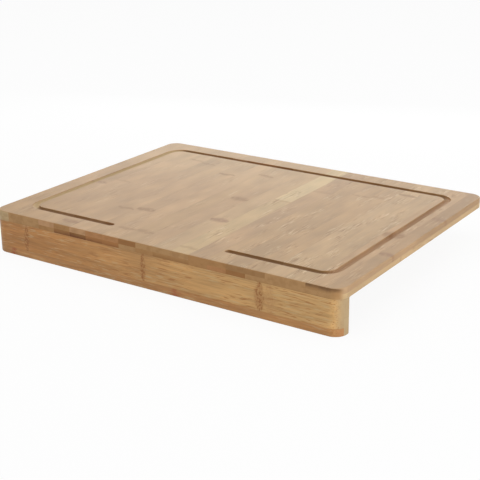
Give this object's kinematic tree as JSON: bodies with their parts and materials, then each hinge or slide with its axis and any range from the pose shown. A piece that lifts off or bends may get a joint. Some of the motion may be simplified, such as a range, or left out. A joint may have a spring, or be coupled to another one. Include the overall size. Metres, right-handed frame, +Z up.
{
  "type": "worktop-edge cutting board",
  "caption": "Laminated bamboo cutting board with rounded corners, a juice groove open at the front and a lip that hooks over the edge of a worktop.",
  "frame": {"origin": "under the middle of the board, in the plane of the lip's foot", "axes": "+X along the lip to the user's right, +Y from the lip towards the back edge, +Z up out of the cutting face"},
  "size_m": [0.45, 0.34, 0.05],
  "materials": {
    "bamboo_panel": "fine sanded and oiled, satin",
    "bamboo_pale": "fine sanded and oiled, satin",
    "bamboo_brown": "fine sanded and oiled, satin",
    "bamboo_honey": "fine sanded and oiled, satin",
    "bamboo_amber": "fine sanded and oiled, satin",
    "beech": "fluted dowel stock, dry"
  },
  "bodies": {
    "root": {"top_strip_01": "bamboo_panel", "top_strip_02": "bamboo_panel", "top_strip_03": "bamboo_panel", "top_strip_04": "bamboo_panel", "top_strip_05": "bamboo_panel", "top_strip_06": "bamboo_panel", "top_strip_07": "bamboo_panel", "top_strip_08": "bamboo_panel", "top_strip_09": "bamboo_panel", "top_strip_10": "bamboo_panel", "top_strip_11": "bamboo_panel", "top_strip_12": "bamboo_pale", "top_strip_13": "bamboo_panel", "top_strip_14": "bamboo_panel", "top_strip_15": "bamboo_panel", "top_strip_16": "bamboo_panel", "top_strip_17": "bamboo_panel", "top_strip_18": "bamboo_panel", "top_strip_19": "bamboo_panel", "top_strip_20": "bamboo_panel", "bottom_strip_01": "bamboo_panel", "bottom_strip_02": "bamboo_panel", "bottom_strip_03": "bamboo_panel", "bottom_strip_04": "bamboo_panel", "bottom_strip_05": "bamboo_brown", "bottom_strip_06": "bamboo_brown", "bottom_strip_07": "bamboo_brown", "bottom_strip_08": "bamboo_brown", "bottom_strip_09": "bamboo_panel", "bottom_strip_10": "bamboo_panel", "bottom_strip_11": "bamboo_brown", "bottom_strip_12": "bamboo_panel", "bottom_strip_13": "bamboo_panel", "bottom_strip_14": "bamboo_panel", "bottom_strip_15": "bamboo_brown", "bottom_strip_16": "bamboo_panel", "bottom_strip_17": "bamboo_panel", "bottom_strip_18": "bamboo_panel", "bottom_strip_19": "bamboo_panel", "bottom_strip_20": "bamboo_panel", "lip_front_upper": "bamboo_honey", "lip_front_lower": "bamboo_amber", "lip_back_upper": "bamboo_panel", "lip_back_lower": "bamboo_panel", "lip_dowels": "beech"}
  },
  "joints": []
}
